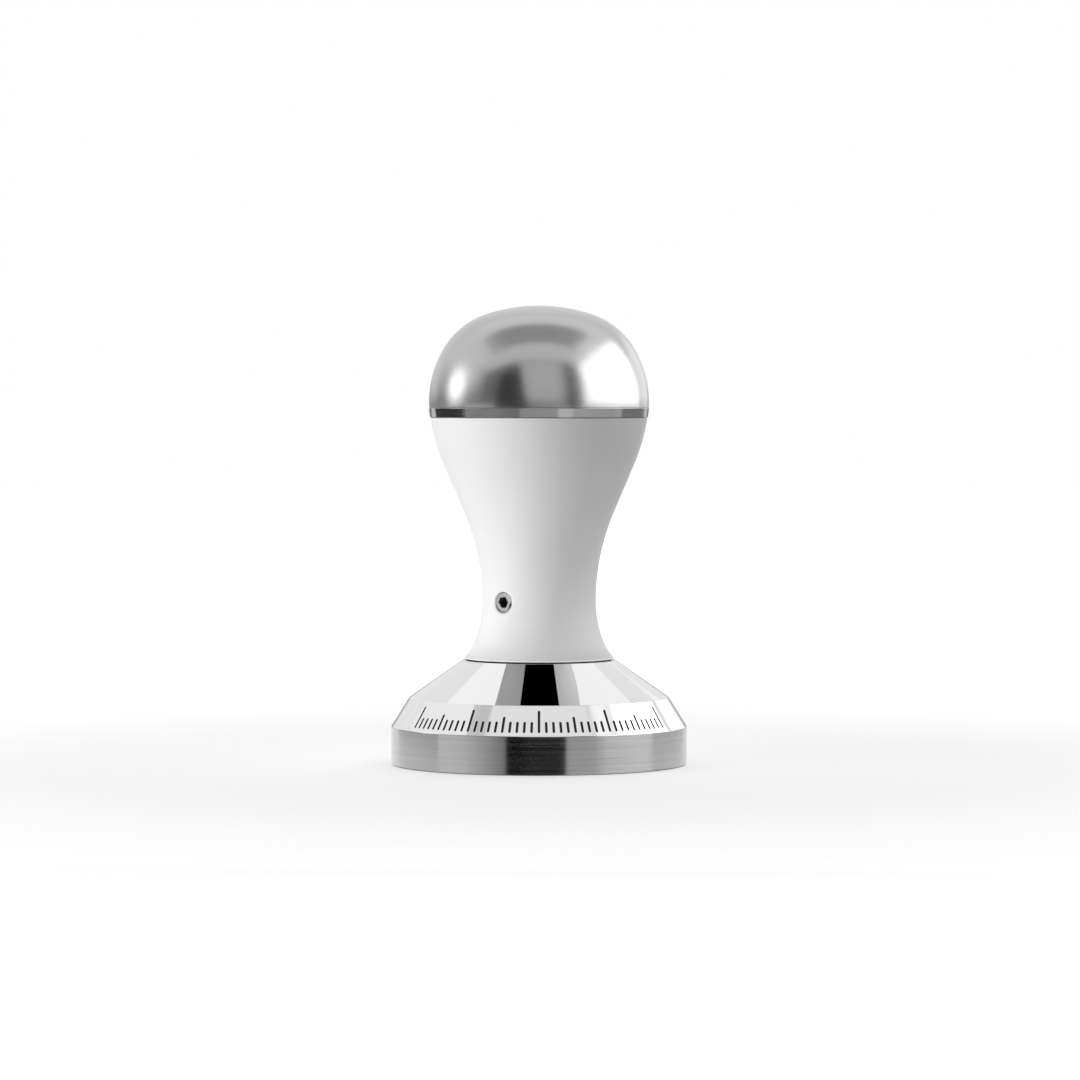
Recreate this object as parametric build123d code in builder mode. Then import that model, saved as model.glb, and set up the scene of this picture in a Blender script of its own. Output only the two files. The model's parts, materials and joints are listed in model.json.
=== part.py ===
from build123d import *
from math import asin, cos, degrees, radians, sin
import os

# Espresso tamper with a height-adjustable handle, in millimetres.
#
# A turned stainless base carries a smooth post.  The handle slides up and down the post on two guide
# bushes.  One set screw in the waist drives a brass pad into the post's keyway, which locks the handle.
# A polished dome, held by a screw from inside, closes the top over a bright trim ring.
#
# The origin is the centre of the flat tamping face.  +Z points up through the handle, and -Y is the
# front: the middle of the scale that is engraved on the bevel.

# ---- Driving dimensions ----------------------------------------------------------------------------
base_diameter = 58.5            # fits a 58.5 mm filter basket
rim_height = 7.5                # the straight wall that guides the base in the basket
bevel_top_diameter = 51.3
bevel_top_height = 13.2
top_land_diameter = 30.2        # the flat that the handle's foot faces
base_height = 20.6

foot_height = 20.85             # underside of the handle when it is fully down
waist_diameter = 22.55
waist_height = 32.3
handle_top = 68.5               # the handle ends here and the trim ring begins
ring_top = 70.4                 # the ring ends here and the dome begins
dome_top = 90.6

post_diameter = 12.0
height_travel = 10.0            # how far the handle slides up the post

front_azimuth = 270             # -Y, measured counter-clockwise from +X
screw_azimuth = 230.6           # the set screw sits 39.4 degrees to the left of the front
screw_height = 32.3

# ---- Clearances and small radii --------------------------------------------------------------------
fixed_gap = 0.02                # between pieces that are screwed or pressed together
running_gap = 0.03              # between pieces that slide or turn on each other
small_edge = 0.2                # broken edges
fine_edge = 0.1                 # broken edges on small pieces
wide_edge = 0.5                 # chamfered ends of screws and spigots
cutter_margin = 1.0             # how far a cutter reaches past the material it removes
bush_wall = 1.0
bore_gap = 0.25                 # between the post and the handle above the bushes

base_radius = base_diameter / 2
post_radius = post_diameter / 2
bush_bore_radius = post_radius + bush_wall
handle_bore_radius = post_radius + bore_gap

os.makedirs("parts", exist_ok=True)


def save(piece, name):
    """Label one finished piece and write its STEP file."""
    piece.part.label = name
    export_step(piece.part, f"parts/{name}.step")


def radial_plane(azimuth, radius, height):
    """A plane square to the radius at this azimuth, facing outward, with its own +Y pointing up."""
    angle = radians(azimuth)
    outward = Vector(cos(angle), sin(angle), 0)
    sideways = Vector(-sin(angle), cos(angle), 0)
    return Plane(origin=outward * radius + Vector(0, 0, height), x_dir=sideways, z_dir=outward)


def arc_turn(start_lean, radius, rise):
    """Degrees that an arc turns as it covers this rise, from a start that leans start_lean off vertical."""
    return degrees(asin(sin(radians(start_lean)) + rise / radius)) - start_lean


# ---- Base: rim, bevel and cone in one turned piece -------------------------------------------------
washer_outer_radius = 14.3
washer_inner_radius = 8.3
washer_recess = 0.4
washer_to_foot = 0.05
washer_bottom = base_height - washer_recess
washer_top = foot_height - washer_to_foot

shoulder_radius = 8.0           # collar of the post, sunk in the base
shoulder_height = 2.0
shoulder_bottom = washer_bottom - shoulder_height
stub_radius = 5.0               # M10 stub below the collar
stub_length = 10.0
stub_hole_depth = 12.0

# The scale fills the bevel between two lines, given as shares of the slope from its lower edge.
scale_low_share = 0.12
scale_high_share = 0.84
scale_half_angle = 57.0
scale_intervals = 40
long_tick_every = 10
middle_tick_every = 5
middle_tick_share = 0.72
short_tick_share = 0.5
tick_width = 0.5
tick_depth = 0.25
tick_tool_lift = 0.2            # the cutter starts this far clear of the slope

slope_run = base_radius - bevel_top_diameter / 2
slope_rise = bevel_top_height - rim_height
slope_length = (slope_run**2 + slope_rise**2) ** 0.5
long_tick_length = (scale_high_share - scale_low_share) * slope_length


def tick_length(tick):
    """Length of one mark of the scale: long, middle or short."""
    if tick % long_tick_every == 0:
        return long_tick_length
    if tick % middle_tick_every == 0:
        return middle_tick_share * long_tick_length
    return short_tick_share * long_tick_length


def bevel_plane(azimuth, along_slope):
    """A plane just off the bevel, with its +Y up the slope, this far along it from the lower edge."""
    angle = radians(azimuth)
    share = along_slope / slope_length
    radius = base_radius - share * slope_run
    height = rim_height + share * slope_rise
    outward = slope_rise / slope_length
    upward = slope_run / slope_length
    normal = Vector(outward * cos(angle), outward * sin(angle), upward)
    sideways = Vector(-sin(angle), cos(angle), 0)
    on_slope = Vector(radius * cos(angle), radius * sin(angle), height)
    return Plane(origin=on_slope + normal * tick_tool_lift, x_dir=sideways, z_dir=normal)


with BuildPart() as tamper_base:
    with BuildSketch(Plane.XZ):
        with BuildLine():
            Polyline(
                (0, 0),
                (base_radius, 0),
                (base_radius, rim_height),
                (bevel_top_diameter / 2, bevel_top_height),
                (top_land_diameter / 2, base_height),
                (0, base_height),
                close=True,
            )
        make_face()
    revolve(axis=Axis.Z)
    outer_rings = tamper_base.edges().filter_by(GeomType.CIRCLE).sort_by(Axis.Z)
    fillet(outer_rings, small_edge)

    # Seats for the washer, the post's collar and its threaded stub, all cut from above.
    with Locations((0, 0, base_height)):
        Hole(washer_outer_radius + fixed_gap, depth=base_height - washer_bottom)
        Hole(shoulder_radius + fixed_gap, depth=base_height - shoulder_bottom)
        Hole(stub_radius + fixed_gap, depth=base_height - shoulder_bottom + stub_hole_depth)

    for tick in range(scale_intervals + 1):
        azimuth = front_azimuth - scale_half_angle + tick * 2 * scale_half_angle / scale_intervals
        middle = scale_low_share * slope_length + tick_length(tick) / 2
        with BuildSketch(bevel_plane(azimuth, middle)):
            SlotOverall(tick_length(tick), tick_width, rotation=90)
        extrude(amount=-tick_depth - tick_tool_lift, mode=Mode.SUBTRACT)
save(tamper_base, "tamper_base")

# ---- Foot washer: the black line under the handle --------------------------------------------------
with BuildPart() as foot_washer:
    with BuildSketch(Plane.XY.offset(washer_bottom)):
        Circle(washer_outer_radius)
        Circle(washer_inner_radius, mode=Mode.SUBTRACT)
    extrude(amount=washer_top - washer_bottom)
    chamfer(foot_washer.edges().group_by(Axis.Z)[-1], fine_edge)
save(foot_washer, "foot_washer")

# ---- Post: threaded stub, collar and smooth shaft --------------------------------------------------
post_top = 51.2
o_ring_section = 1.3
o_ring_groove_width = 1.5
o_ring_groove_floor = 4.9
o_ring_height = 49.4
keyway_width = 3.2
keyway_floor_radius = 4.6
keyway_length = height_travel + keyway_width
post_socket_across_flats = 6.0
post_socket_depth = 5.0


def hex_corner_radius(across_flats):
    """Corner radius of a hexagon of this width across its flats."""
    return across_flats / 2 / cos(radians(30))


with BuildPart() as post:
    with BuildSketch(Plane.XY.offset(shoulder_bottom - stub_length)):
        Circle(stub_radius)
    extrude(amount=stub_length)
    chamfer(post.edges().group_by(Axis.Z)[0], wide_edge)
    with BuildSketch(Plane.XY.offset(shoulder_bottom)):
        Circle(shoulder_radius)
    extrude(amount=washer_bottom - shoulder_bottom)
    with BuildSketch(Plane.XY.offset(washer_bottom)):
        Circle(post_radius)
    extrude(amount=post_top - washer_bottom)
    chamfer(post.edges().group_by(Axis.Z)[-1], wide_edge)

    # Groove for the rubber ring.
    with BuildSketch(Plane.XY.offset(o_ring_height - o_ring_groove_width / 2)):
        Circle(post_radius + cutter_margin)
        Circle(o_ring_groove_floor, mode=Mode.SUBTRACT)
    extrude(amount=o_ring_groove_width, mode=Mode.SUBTRACT)

    # Keyway with round ends, one travel long, which the brass pad runs in.
    with BuildSketch(radial_plane(screw_azimuth, keyway_floor_radius, screw_height + height_travel / 2)):
        SlotOverall(keyway_length, keyway_width, rotation=90)
    extrude(amount=post_radius, mode=Mode.SUBTRACT)

    # Hex socket in the top end, to screw the post into the base.
    with BuildSketch(Plane.XY.offset(post_top)):
        RegularPolygon(hex_corner_radius(post_socket_across_flats), side_count=6)
    extrude(amount=-post_socket_depth, mode=Mode.SUBTRACT)
save(post, "post")

# ---- Rubber ring in the post's groove --------------------------------------------------------------
with BuildPart() as post_o_ring:
    with BuildSketch(Plane.XZ):
        with Locations((o_ring_groove_floor + fixed_gap + o_ring_section / 2, o_ring_height)):
            Circle(o_ring_section / 2)
    revolve(axis=Axis.Z)
save(post_o_ring, "post_o_ring")

# ---- Handle ----------------------------------------------------------------------------------------
# Outline, from the waist up: a long hollow curve, a straight flank, and a shoulder that rounds back.
# From the waist down: a hollow curve that tightens into the foot.
upper_hollow_radius = 44.8
upper_hollow_turn = 22.7
flank_length = 10.6
shoulder_curve_radius = 39.9
lower_hollow_radius = 22.1
lower_hollow_turn = 21.4
foot_flare_radius = 9.5

lower_bush_bottom = 24.0
lower_bush_top = 30.0
upper_bush_bottom = 34.5
upper_bush_top = 38.5

web_bottom = 62.5               # the web that the dome's screw clamps against
web_top = 66.0
spigot_radius = 15.0            # the dome's spigot, which centres the ring and sits in the handle
cap_thread_radius = 3.0         # M6
cap_screw_clearance_radius = 3.3

screw_radius = 2.0              # M4
mouth_radius = 2.5              # countersunk mouth of the screw's hole
mouth_lift = 0.5                # the countersink's cutter starts this far outside the waist

with BuildPart() as handle_body:
    with BuildSketch(Plane.XZ):
        with BuildLine():
            waist = (waist_diameter / 2, waist_height)
            hollow = JernArc(waist, (0, 1), upper_hollow_radius, -upper_hollow_turn)
            flank = Line(hollow @ 1, (hollow @ 1) + (hollow % 1) * flank_length)
            shoulder_rise = (flank @ 1).Y - handle_top
            shoulder_turn = arc_turn(upper_hollow_turn, shoulder_curve_radius, shoulder_rise)
            shoulder = JernArc(flank @ 1, flank % 1, shoulder_curve_radius, -shoulder_turn)
            lower_hollow = JernArc(waist, (0, -1), lower_hollow_radius, lower_hollow_turn)
            flare_rise = (lower_hollow @ 1).Y - foot_height
            flare_turn = arc_turn(lower_hollow_turn, foot_flare_radius, flare_rise)
            flare = JernArc(lower_hollow @ 1, lower_hollow % 1, foot_flare_radius, flare_turn)
            Polyline(shoulder @ 1, (0, handle_top), (0, foot_height), flare @ 1)
        make_face()
    revolve(axis=Axis.Z)
    fillet(handle_body.edges().group_by(Axis.Z)[-1], small_edge)
    fillet(handle_body.edges().group_by(Axis.Z)[0], small_edge)

    # Stepped bore: wide for the bushes, close round the post above them, narrow through the web.
    with BuildSketch(Plane.XY.offset(foot_height)):
        Circle(bush_bore_radius)
    extrude(amount=upper_bush_top - foot_height, mode=Mode.SUBTRACT)
    with BuildSketch(Plane.XY.offset(upper_bush_top)):
        Circle(handle_bore_radius)
    extrude(amount=web_bottom - upper_bush_top, mode=Mode.SUBTRACT)
    with Locations((0, 0, handle_top)):
        Hole(cap_screw_clearance_radius, depth=handle_top - web_bottom)
        Hole(spigot_radius + running_gap, depth=handle_top - web_top)

    # Radial hole for the set screw, with a countersunk mouth.
    with BuildSketch(radial_plane(screw_azimuth, 0, screw_height)):
        Circle(screw_radius + running_gap)
    extrude(amount=waist_diameter, mode=Mode.SUBTRACT)
    with Locations(radial_plane(screw_azimuth, waist_diameter / 2 + mouth_lift, screw_height)):
        Cone(
            bottom_radius=screw_radius,
            top_radius=mouth_radius + mouth_lift,
            height=mouth_radius + mouth_lift - screw_radius,
            align=(Align.CENTER, Align.CENTER, Align.MAX),
            mode=Mode.SUBTRACT,
        )
save(handle_body, "handle_body")


def guide_bush(bottom, top):
    """One plastic bush, pressed in the handle and running on the post."""
    with BuildPart() as bush:
        with BuildSketch(Plane.XY.offset(bottom)):
            Circle(bush_bore_radius - fixed_gap)
            Circle(post_radius + running_gap, mode=Mode.SUBTRACT)
        extrude(amount=top - bottom)
        chamfer(bush.faces().sort_by(Axis.Z)[0].edges(), fine_edge)
    return bush


save(guide_bush(lower_bush_bottom, lower_bush_top), "lower_guide_bush")
save(guide_bush(upper_bush_bottom, upper_bush_top), "upper_guide_bush")

# ---- Trim ring between handle and dome -------------------------------------------------------------
ring_bottom_radius = 21.55
ring_top_radius = 21.8

with BuildPart() as trim_ring:
    with BuildSketch(Plane.XZ):
        with BuildLine():
            Polyline(
                (spigot_radius + running_gap, handle_top),
                (ring_bottom_radius, handle_top),
                (ring_top_radius, ring_top),
                (spigot_radius + running_gap, ring_top),
                close=True,
            )
        make_face()
    revolve(axis=Axis.Z)
    outer_edges = trim_ring.edges().filter_by(GeomType.CIRCLE).sort_by(SortBy.RADIUS)[-2:]
    fillet(outer_edges, fine_edge)
save(trim_ring, "trim_ring")

# ---- Dome: three tangent arcs, from the crown over the shoulder to the side -------------------------
crown_radius = 33.2
crown_turn = 18.5
dome_shoulder_radius = 15.2
dome_shoulder_turn = 39.5
dome_side_radius = 20.5

spigot_bottom = 66.2
cap_thread_depth = 12.8
cap_washer_thickness = 1.6

with BuildPart() as dome_cap:
    with BuildSketch(Plane.XZ):
        with BuildLine():
            crown = JernArc((0, dome_top), (1, 0), crown_radius, -crown_turn)
            dome_shoulder = JernArc(crown @ 1, crown % 1, dome_shoulder_radius, -dome_shoulder_turn)
            # The side leans outward where it starts, so its rise counts against that lean.
            side_lean = crown_turn + dome_shoulder_turn - 90
            side_drop = (dome_shoulder @ 1).Y - ring_top
            side_turn = arc_turn(side_lean, dome_side_radius, side_drop)
            side = JernArc(dome_shoulder @ 1, dome_shoulder % 1, dome_side_radius, -side_turn)
            Polyline(side @ 1, (0, ring_top), (0, dome_top))
        make_face()
    revolve(axis=Axis.Z)
    fillet(dome_cap.edges().group_by(Axis.Z)[0], fine_edge)
    with BuildSketch(Plane.XY.offset(spigot_bottom)):
        Circle(spigot_radius)
    extrude(amount=ring_top - spigot_bottom)
    chamfer(dome_cap.edges().group_by(Axis.Z)[0], wide_edge)
    with BuildSketch(Plane.XY.offset(spigot_bottom)):
        Circle(cap_thread_radius + fixed_gap)
    extrude(amount=cap_thread_depth, mode=Mode.SUBTRACT)
save(dome_cap, "dome_cap")

# ---- The screw that holds the dome, with its two washers --------------------------------------------
cap_washer_outer_radius = 6.0
cap_washer_inner_radius = 3.2
cap_washer_bottom = web_bottom - cap_washer_thickness
spring_washer_outer_radius = 5.9
spring_washer_inner_radius = 3.05
spring_washer_thickness = 1.6
spring_washer_slit = 0.8
spring_washer_slit_slant = 20
spring_washer_bottom = cap_washer_bottom - spring_washer_thickness
cap_head_radius = 5.0
cap_head_height = 6.0
cap_screw_length = 16.0
cap_socket_across_flats = 5.0
cap_socket_depth = 3.0

with BuildPart() as cap_washer:
    with BuildSketch(Plane.XY.offset(cap_washer_bottom)):
        Circle(cap_washer_outer_radius)
        Circle(cap_washer_inner_radius, mode=Mode.SUBTRACT)
    extrude(amount=cap_washer_thickness)
    chamfer(cap_washer.edges().filter_by(GeomType.CIRCLE).sort_by(SortBy.RADIUS)[-2:], fine_edge)
save(cap_washer, "cap_washer")

with BuildPart() as cap_spring_washer:
    with BuildSketch(Plane.XY.offset(spring_washer_bottom)):
        Circle(spring_washer_outer_radius)
        Circle(spring_washer_inner_radius, mode=Mode.SUBTRACT)
    extrude(amount=spring_washer_thickness)
    # The slit that splits the ring, cut on a slant.
    with BuildSketch(Plane.YZ):
        with Locations((0, spring_washer_bottom + spring_washer_thickness / 2)):
            Rectangle(spring_washer_slit, 2 * spring_washer_thickness, rotation=spring_washer_slit_slant)
    extrude(amount=2 * spring_washer_outer_radius, mode=Mode.SUBTRACT)
save(cap_spring_washer, "cap_spring_washer")

with BuildPart() as cap_screw:
    with BuildSketch(Plane.XY.offset(spring_washer_bottom - cap_head_height)):
        Circle(cap_head_radius)
    extrude(amount=cap_head_height)
    fillet(cap_screw.edges().group_by(Axis.Z)[0], wide_edge)
    with BuildSketch(Plane.XY.offset(spring_washer_bottom)):
        Circle(cap_thread_radius)
    extrude(amount=cap_screw_length)
    chamfer(cap_screw.edges().group_by(Axis.Z)[-1], wide_edge)
    with BuildSketch(Plane.XY.offset(spring_washer_bottom - cap_head_height)):
        RegularPolygon(hex_corner_radius(cap_socket_across_flats), side_count=6)
    extrude(amount=cap_socket_depth, mode=Mode.SUBTRACT)
save(cap_screw, "cap_screw")

# ---- Lock: set screw in the handle, with a swivelling brass pad on its nose -------------------------
screw_face_radius = 11.1        # distance of the screw's outer end from the tamper's axis
screw_length = 4.0
screw_chamfer = 0.45
screw_socket_across_flats = 2.0
screw_socket_depth = 2.0
screw_socket_turn = 95          # where the first corner of the socket points
nose_radius = 0.8
nose_length = 0.6
pad_radius = 1.5
pad_hole_depth = 0.7
screw_inner_radius = screw_face_radius - screw_length
pad_outer_radius = screw_inner_radius - fixed_gap
pad_inner_radius = keyway_floor_radius + fixed_gap

with BuildPart() as lock_screw:
    with BuildSketch(radial_plane(screw_azimuth, screw_inner_radius, screw_height)):
        Circle(screw_radius)
    extrude(amount=screw_length)
    chamfer(lock_screw.edges().filter_by(GeomType.CIRCLE), screw_chamfer)
    with BuildSketch(radial_plane(screw_azimuth, screw_inner_radius, screw_height)):
        Circle(nose_radius)
    extrude(amount=-nose_length)
    with BuildSketch(radial_plane(screw_azimuth, screw_face_radius, screw_height)):
        RegularPolygon(hex_corner_radius(screw_socket_across_flats), side_count=6, rotation=screw_socket_turn)
    extrude(amount=-screw_socket_depth, mode=Mode.SUBTRACT)
save(lock_screw, "lock_screw")

with BuildPart() as lock_pad:
    with BuildSketch(radial_plane(screw_azimuth, pad_inner_radius, screw_height)):
        Circle(pad_radius)
    extrude(amount=pad_outer_radius - pad_inner_radius)
    chamfer(lock_pad.edges().filter_by(GeomType.CIRCLE), fine_edge)
    with BuildSketch(radial_plane(screw_azimuth, pad_outer_radius, screw_height)):
        Circle(nose_radius + running_gap)
    extrude(amount=-pad_hole_depth, mode=Mode.SUBTRACT)
save(lock_pad, "lock_pad")

print("handle foot radius", round((flare @ 1).X, 2), "handle top radius", round((shoulder @ 1).X, 2))
print("dome radius at the ring", round((side @ 1).X, 2))
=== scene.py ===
"""Looks of the espresso tamper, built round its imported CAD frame.

The turned pieces, the engraved base, the pierced handle and the threaded set screw are modelled here as
clean meshes with exact normals.  The other pieces keep their CAD meshes.  The sizes of pieces are in
millimetres, outlines as (radius, height), and the studio is in metres.  +Z is up and -Y is the front.
"""

import json
import math

import bmesh
import bpy
from mathutils import Matrix, Vector


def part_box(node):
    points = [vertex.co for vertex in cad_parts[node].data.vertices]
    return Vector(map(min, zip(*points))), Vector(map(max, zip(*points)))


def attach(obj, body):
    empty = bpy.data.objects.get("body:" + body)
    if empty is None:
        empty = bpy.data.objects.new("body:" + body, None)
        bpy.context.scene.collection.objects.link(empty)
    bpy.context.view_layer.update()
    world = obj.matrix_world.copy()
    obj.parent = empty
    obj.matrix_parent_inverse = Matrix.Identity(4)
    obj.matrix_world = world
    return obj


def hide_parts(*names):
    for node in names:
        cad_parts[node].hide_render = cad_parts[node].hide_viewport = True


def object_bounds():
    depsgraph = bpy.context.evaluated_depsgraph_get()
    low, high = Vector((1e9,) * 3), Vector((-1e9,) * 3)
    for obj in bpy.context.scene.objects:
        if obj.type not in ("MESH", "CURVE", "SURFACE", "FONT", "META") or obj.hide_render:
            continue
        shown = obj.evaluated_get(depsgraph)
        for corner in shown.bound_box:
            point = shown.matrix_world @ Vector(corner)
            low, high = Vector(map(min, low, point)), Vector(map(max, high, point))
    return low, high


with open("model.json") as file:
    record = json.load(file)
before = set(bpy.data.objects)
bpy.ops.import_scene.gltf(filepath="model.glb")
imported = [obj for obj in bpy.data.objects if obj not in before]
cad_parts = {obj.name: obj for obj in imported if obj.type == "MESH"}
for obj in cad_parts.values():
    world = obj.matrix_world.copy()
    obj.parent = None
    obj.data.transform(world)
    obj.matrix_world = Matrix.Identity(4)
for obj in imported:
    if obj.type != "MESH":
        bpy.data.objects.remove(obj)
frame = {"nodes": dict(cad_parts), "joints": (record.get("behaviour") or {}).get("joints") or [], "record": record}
cad_low, cad_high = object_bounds()
scene = bpy.context.scene

MM = 0.001


# ---- Driving dimensions, in millimetres, read from the frame ----
def widest(node):
    """Largest radius of a turned node."""
    low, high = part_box(node)
    return (high.x - low.x) / 2 / MM


def heights(node):
    """Lowest and highest point of a node."""
    low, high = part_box(node)
    return low.z / MM, high.z / MM


base_radius = widest("tamper_base")
base_top = heights("tamper_base")[1]
washer_radius = widest("foot_washer")
washer_bottom = heights("foot_washer")[0]
foot_height, handle_top = heights("handle_body")
ring_top = heights("trim_ring")[1]
ring_radius = widest("trim_ring")
spigot_bottom, dome_top = heights("dome_cap")
bush_radius = widest("upper_guide_bush")
upper_bush_top = heights("upper_guide_bush")[1]
web_bottom = heights("cap_washer")[1]

screw_joint = next(joint for joint in frame["joints"] if joint["name"] == "lock_screw_turn")
screw_axis = Vector(screw_joint["axis"])
screw_azimuth = math.atan2(screw_axis.y, screw_axis.x)
screw_face = Vector(screw_joint["pos_m"])
screw_height = screw_face.z / MM
screw_face_radius = math.hypot(screw_face.x, screw_face.y) / MM

edge = 0.2              # broken edges of the big pieces
fine_edge = 0.1
fit_gap = 0.02
slide_gap = 0.03
front = -math.pi / 2    # azimuth of -Y
same_place = 1e-5       # points closer than this are one point
close_enough = 1e-4     # for finding a row of an outline by its place or its direction
least_turn = 0.01       # an outline that bends by less than this has no corner to round
corner_steps = 4        # faces round each rounded corner of an outline


# ---- Mesh helpers ----
def toward(angle):
    """Unit vector in an outline's plane, at this angle from the outward direction."""
    return Vector((math.cos(angle), math.sin(angle)))


class Piece:
    """Collects points and faces, with an exact normal at every corner, and makes the object."""

    def __init__(self):
        self.points = []
        self.faces = []
        self.normals = []
        self.finishes = []

    def point(self, where):
        """Adds a point given in millimetres and returns its number."""
        self.points.append(Vector(where) * MM)
        return len(self.points) - 1

    def face(self, corners, normals, finish=0):
        self.faces.append(tuple(corners))
        self.normals.extend(Vector(normal).normalized() for normal in normals)
        self.finishes.append(finish)

    def flat_face(self, corners, finish=0):
        """A face with one normal, from its own corners."""
        a, b, c = (self.points[corner] for corner in corners[:3])
        normal = (b - a).cross(c - a)
        self.face(corners, [normal] * len(corners), finish)

    def make(self, name, body, replaced, materials):
        mesh = bpy.data.meshes.new(name)
        mesh.from_pydata(self.points, [], self.faces)
        for material in materials:
            mesh.materials.append(material)
        mesh.polygons.foreach_set("use_smooth", [True] * len(self.faces))
        mesh.polygons.foreach_set("material_index", self.finishes)
        mesh.normals_split_custom_set(self.normals)
        thing = bpy.data.objects.new(name, mesh)
        scene.collection.objects.link(thing)
        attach(thing, body)
        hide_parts(replaced)


class Outline:
    """Half of a turned section: samples of (place, direction), travelling with the metal on the left."""

    def __init__(self, radius, height):
        self.runs = []
        self.place = Vector((radius, height))

    def line(self, radius, height, steps=1, rounding=0.0):
        """A straight run; rounding is the radius of the corner at its start."""
        start, end = self.place, Vector((radius, height))
        direction = (end - start).normalized()
        samples = [(start.lerp(end, step / steps), direction) for step in range(steps + 1)]
        self.runs.append((samples, rounding))
        self.place = end

    def arc(self, centre, end_angle, steps, rounding=0.0):
        """An arc about this centre, from the present place to this angle, counter-clockwise if it grows."""
        centre = Vector(centre)
        spoke = self.place - centre
        radius = spoke.length
        start_angle = math.atan2(spoke.y, spoke.x)
        sense = 1 if end_angle > start_angle else -1
        samples = []
        for step in range(steps + 1):
            angle = start_angle + (end_angle - start_angle) * step / steps
            away = toward(angle)
            samples.append((centre + away * radius, Vector((-away.y, away.x)) * sense))
        self.runs.append((samples, rounding))
        self.place = samples[-1][0]

    def samples(self):
        """All samples in order, with every rounded corner worked in."""
        done = list(self.runs[0][0])
        for run, rounding in self.runs[1:]:
            run = list(run)
            before, after = done[-1][1], run[0][1]
            turn = before.angle_signed(after, 0.0) * -1
            if rounding and abs(turn) > least_turn:
                corner = run[0][0]
                trim = rounding * math.tan(abs(turn) / 2)
                done = [one for one in done if (one[0] - corner).length > trim]
                done.append((corner - before * trim, before))
                run = [one for one in run if (one[0] - corner).length > trim]
                run.insert(0, (corner + after * trim, after))
                side = math.copysign(1, turn)
                centre = done[-1][0] + Vector((-before.y, before.x)) * rounding * side
                for step in range(1, corner_steps):
                    heading = Matrix.Rotation(turn * step / corner_steps, 2) @ before
                    spoke = Vector((heading.y, -heading.x)) * rounding * side
                    done.append((centre + spoke, heading))
            done.extend(run)
        return done


def turned_normal(direction, azimuth):
    """Outward normal of a turned surface whose outline runs this way."""
    return Vector((direction.y * math.cos(azimuth), direction.y * math.sin(azimuth), -direction.x))


def on_turning(place, azimuth):
    return (place.x * math.cos(azimuth), place.x * math.sin(azimuth), place.y)


def point_rows(piece, samples, azimuth_at, count):
    """One row of points for each sample of an outline.  Samples at one place share their row."""
    rows = []
    for index, (place, _) in enumerate(samples):
        if index and (place - samples[index - 1][0]).length < same_place:
            rows.append(rows[-1])
        elif index and (place - samples[0][0]).length < same_place:
            rows.append(rows[0])
        elif place.x < same_place:
            rows.append([piece.point((0, 0, place.y))] * count)
        else:
            azimuths = [azimuth_at(column, place.x) for column in range(count)]
            rows.append([piece.point(on_turning(place, azimuth)) for azimuth in azimuths])
    return rows


def face_row(piece, rows, samples, row, azimuth_at, columns, finish=0):
    """Faces between this row of points and the next, in these columns.  At a pole they are triangles."""
    for column in columns:
        after = (column + 1) % len(rows[row])
        corners = {}
        for at, which in ((row, column), (row, after), (row + 1, after), (row + 1, column)):
            place, way = samples[at]
            corners.setdefault(rows[at][which], turned_normal(way, azimuth_at(which, place.x)))
        piece.face(corners.keys(), corners.values(), finish)


def turn_round(piece, samples, azimuths, skip=lambda row, column: False):
    """Turns the outline into rings of faces.  Returns the point numbers, as rows of one per azimuth."""
    def azimuth_at(column, _):
        return azimuths[column]

    count = len(azimuths)
    rows = point_rows(piece, samples, azimuth_at, count)
    for row in range(len(rows) - 1):
        if rows[row] is not rows[row + 1]:
            columns = [column for column in range(count) if not skip(row, column)]
            face_row(piece, rows, samples, row, azimuth_at, columns)
    return rows


def evenly(count, start=0.0):
    return [start + 2 * math.pi * column / count for column in range(count)]


def quads(lower, upper):
    """The corners of each face between two closed loops, in order round the loops."""
    for index in range(len(lower)):
        after = (index + 1) % len(lower)
        yield lower[index], lower[after], upper[after], upper[index]


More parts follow.
